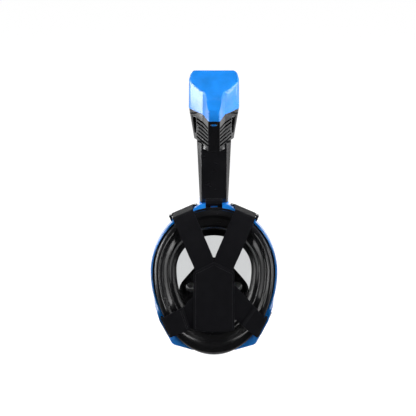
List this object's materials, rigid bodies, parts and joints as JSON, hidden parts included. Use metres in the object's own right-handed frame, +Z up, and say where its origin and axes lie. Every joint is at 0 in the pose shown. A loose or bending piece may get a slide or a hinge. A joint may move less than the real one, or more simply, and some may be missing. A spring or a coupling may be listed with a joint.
{
  "type": "full-face snorkel mask",
  "caption": "Full-face diving mask with a clear domed lens, blue frame, soft black skirt, crossed head strap and a rear-leaning dry-top snorkel.",
  "frame": {"origin": "centre of the face opening, on the rear surface of the skirt's sealing lip", "axes": "+Z up along the mask, +Y rearward to the wearer's face, +X to the wearer's left; the lens looks along -Y"},
  "size_m": [0.186, 0.1038, 0.4211],
  "materials": {
    "clear_lens": "clear gloss polycarbonate",
    "blue_plastic": "gloss",
    "black_plastic": "semi-gloss",
    "grey_plastic": "satin",
    "black_silicone": "smooth, slightly glossy",
    "valve_silicone": "translucent satin",
    "strap_webbing": "matte woven",
    "steel": "bright"
  },
  "bodies": {
    "mask": {"lens": "clear_lens", "front_frame": "blue_plastic", "chin_housing": "blue_plastic", "snorkel_collar": "blue_plastic", "inner_frame": "black_plastic", "frame_screws": "steel", "strap_pins": "steel", "face_skirt": "black_silicone", "oronasal_pocket": "black_silicone", "inlet_valve_seat_left": "black_plastic", "inlet_valve_seat_right": "black_plastic", "purge_valve_seat": "black_plastic", "purge_cover": "black_plastic", "exhaust_duct_left": "black_plastic", "exhaust_duct_right": "black_plastic", "air_manifold": "black_plastic", "head_strap_panel": "strap_webbing", "upper_strap_left": "strap_webbing", "upper_strap_right": "strap_webbing", "lower_strap_left": "strap_webbing", "lower_strap_right": "strap_webbing", "upper_bracket_left": "black_plastic", "upper_bracket_right": "black_plastic"},
    "snorkel": {"snorkel_tube": "black_plastic", "base_seal": "black_silicone", "dry_top_housing": "black_plastic", "dry_top_cap": "blue_plastic", "valve_plate": "grey_plastic"},
    "float_left": {"float_left": "grey_plastic", "float_seal_left": "black_silicone"},
    "inlet_flap_left": {"inlet_valve_disc_left": "valve_silicone"},
    "exhaust_flap_left": {"exhaust_valve_disc_left": "valve_silicone"},
    "upper_clip_left": {"upper_clip_left": "black_plastic"},
    "lower_clip_left": {"lower_clip_left": "black_plastic"},
    "float_right": {"float_right": "grey_plastic", "float_seal_right": "black_silicone"},
    "inlet_flap_right": {"inlet_valve_disc_right": "valve_silicone"},
    "exhaust_flap_right": {"exhaust_valve_disc_right": "valve_silicone"},
    "upper_clip_right": {"upper_clip_right": "black_plastic"},
    "lower_clip_right": {"lower_clip_right": "black_plastic"},
    "purge_flap": {"purge_valve_disc": "valve_silicone"}
  },
  "joints": [
    {"name": "snorkel_release", "type": "slide", "parent": "mask", "child": "snorkel", "axis": [0, 0.2079, 0.9781], "range_m": [0, 0.04]},
    {"name": "float_left_rise", "type": "slide", "parent": "snorkel", "child": "float_left", "axis": [0, 0.2079, 0.9781], "range_m": [0, 0.0118]},
    {"name": "inlet_flap_left_lift", "type": "slide", "parent": "mask", "child": "inlet_flap_left", "axis": [0, 1, 0], "range_m": [0, 0.0015], "stiffness_N_per_m": 20},
    {"name": "exhaust_flap_left_lift", "type": "slide", "parent": "mask", "child": "exhaust_flap_left", "axis": [-1, 0, 0], "range_m": [0, 0.0015], "stiffness_N_per_m": 20},
    {"name": "upper_clip_left_hinge", "type": "hinge", "parent": "mask", "child": "upper_clip_left", "pos_m": [0.0448, -0.0375, 0.10047], "axis": [-0.9184, 0, 0.3955], "range_deg": [0, 75]},
    {"name": "lower_clip_left_hinge", "type": "hinge", "parent": "mask", "child": "lower_clip_left", "pos_m": [0.07022, -0.0205, -0.06556], "axis": [0.4368, 0, 0.8996], "range_deg": [0, 60]},
    {"name": "float_right_rise", "type": "slide", "parent": "snorkel", "child": "float_right", "axis": [0, 0.2079, 0.9781], "range_m": [0, 0.0118]},
    {"name": "inlet_flap_right_lift", "type": "slide", "parent": "mask", "child": "inlet_flap_right", "axis": [0, 1, 0], "range_m": [0, 0.0015], "stiffness_N_per_m": 20},
    {"name": "exhaust_flap_right_lift", "type": "slide", "parent": "mask", "child": "exhaust_flap_right", "axis": [1, 0, 0], "range_m": [0, 0.0015], "stiffness_N_per_m": 20},
    {"name": "upper_clip_right_hinge", "type": "hinge", "parent": "mask", "child": "upper_clip_right", "pos_m": [-0.0448, -0.0375, 0.10047], "axis": [-0.9184, 0, -0.3955], "range_deg": [0, 75]},
    {"name": "lower_clip_right_hinge", "type": "hinge", "parent": "mask", "child": "lower_clip_right", "pos_m": [-0.07022, -0.0205, -0.06556], "axis": [0.4368, 0, -0.8996], "range_deg": [-20, 40]},
    {"name": "purge_flap_lift", "type": "slide", "parent": "mask", "child": "purge_flap", "axis": [0, -1, 0], "range_m": [0, 0.0018], "stiffness_N_per_m": 20}
  ]
}
